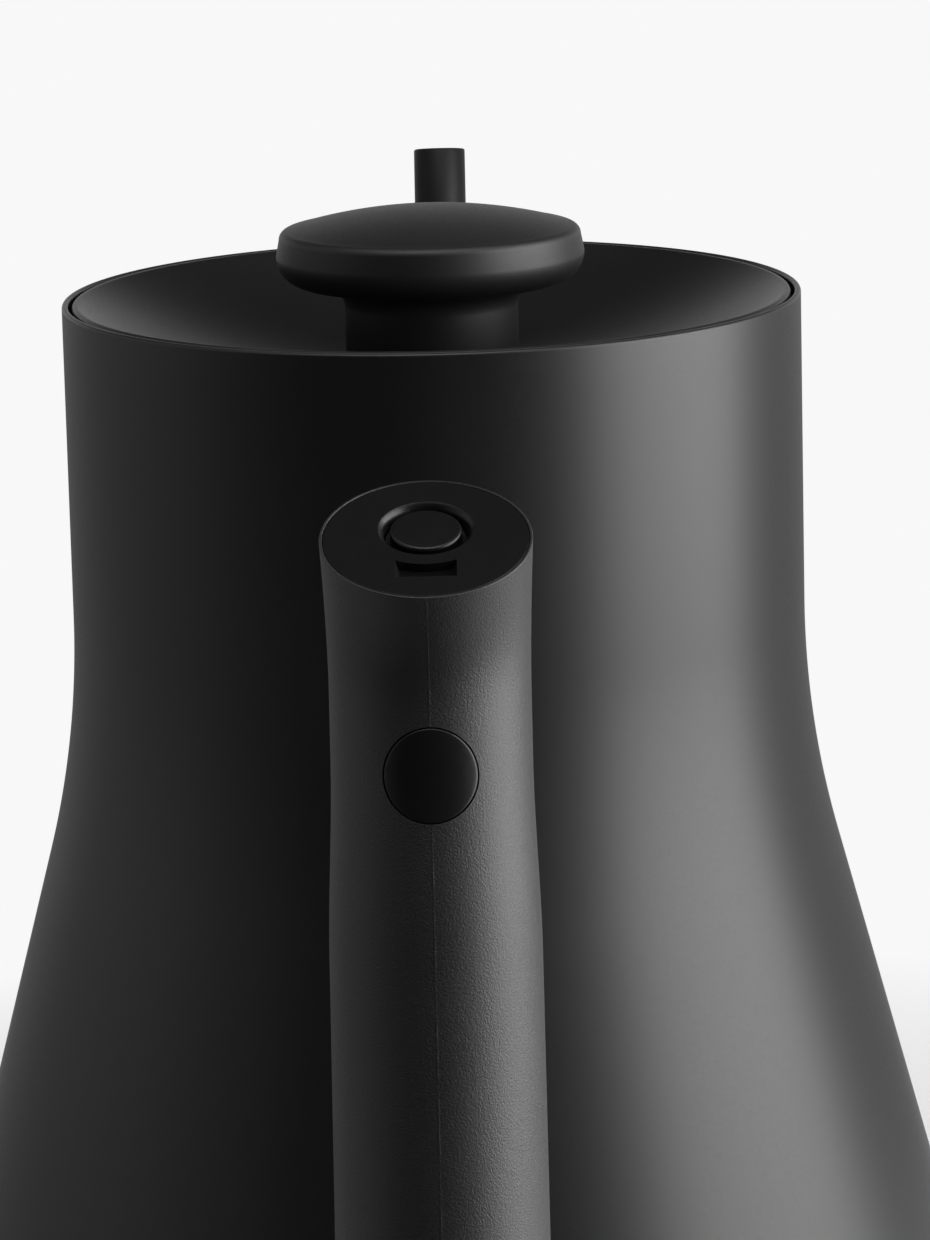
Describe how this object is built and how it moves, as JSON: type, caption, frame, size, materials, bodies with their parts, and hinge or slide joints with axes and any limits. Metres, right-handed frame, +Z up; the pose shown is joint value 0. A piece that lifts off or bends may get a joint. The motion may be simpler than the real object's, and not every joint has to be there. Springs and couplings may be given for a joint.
{
  "type": "gooseneck kettle",
  "caption": "Matte black gooseneck pouring kettle: flared vessel with heated floor, lift-off dished lid with domed knob, slim spout and round handle open at the top.",
  "frame": {"origin": "on the body's axis, in the plane that the kettle stands on", "axes": "+Z up, +Y towards the spout, -Y towards the handle, +X to the right when seen from behind the handle"},
  "size_m": [0.1408, 0.2762, 0.1668],
  "materials": {
    "body_coat": "smooth matte black coating on steel",
    "grip_plastic": "fine moulded grain, matte",
    "cover_plastic": "smooth, matte",
    "knob_plastic": "smooth, matte",
    "base_plastic": "matte moulding",
    "bare_steel": "brushed stainless",
    "screw_steel": "plain stainless",
    "cast_aluminium": "as cast",
    "contact_brass": "bright",
    "silicone": "soft, dull"
  },
  "bodies": {
    "kettle": {"body_shell": "body_coat", "spout": "body_coat", "floor_plate": "bare_steel", "heat_spreader": "cast_aluminium", "heating_element": "bare_steel", "element_pins": "bare_steel", "terminal_straps": "contact_brass", "temperature_probe": "bare_steel", "probe_grommet": "silicone", "safety_cutout": "base_plastic", "cutout_screws": "screw_steel", "coupler_housing": "base_plastic", "coupler_pin": "contact_brass", "coupler_ring": "contact_brass", "coupler_screws": "screw_steel", "base_cover": "base_plastic", "base_seal": "silicone", "base_screws": "screw_steel", "handle_bar": "bare_steel", "handle_grip": "grip_plastic", "end_cap": "cover_plastic", "end_cap_plug": "cover_plastic", "end_cap_screw": "screw_steel", "rear_plug": "cover_plastic", "rear_screw": "screw_steel"},
    "lid": {"lid_pan": "body_coat", "lid_liner": "bare_steel", "lid_seal": "silicone", "lid_knob": "knob_plastic", "knob_insert": "contact_brass", "knob_screw": "screw_steel", "knob_washer": "silicone"}
  },
  "joints": [
    {"name": "lid_lift", "type": "slide", "parent": "kettle", "child": "lid", "axis": [0, 0, 1], "range_m": [0, 0.08]}
  ]
}
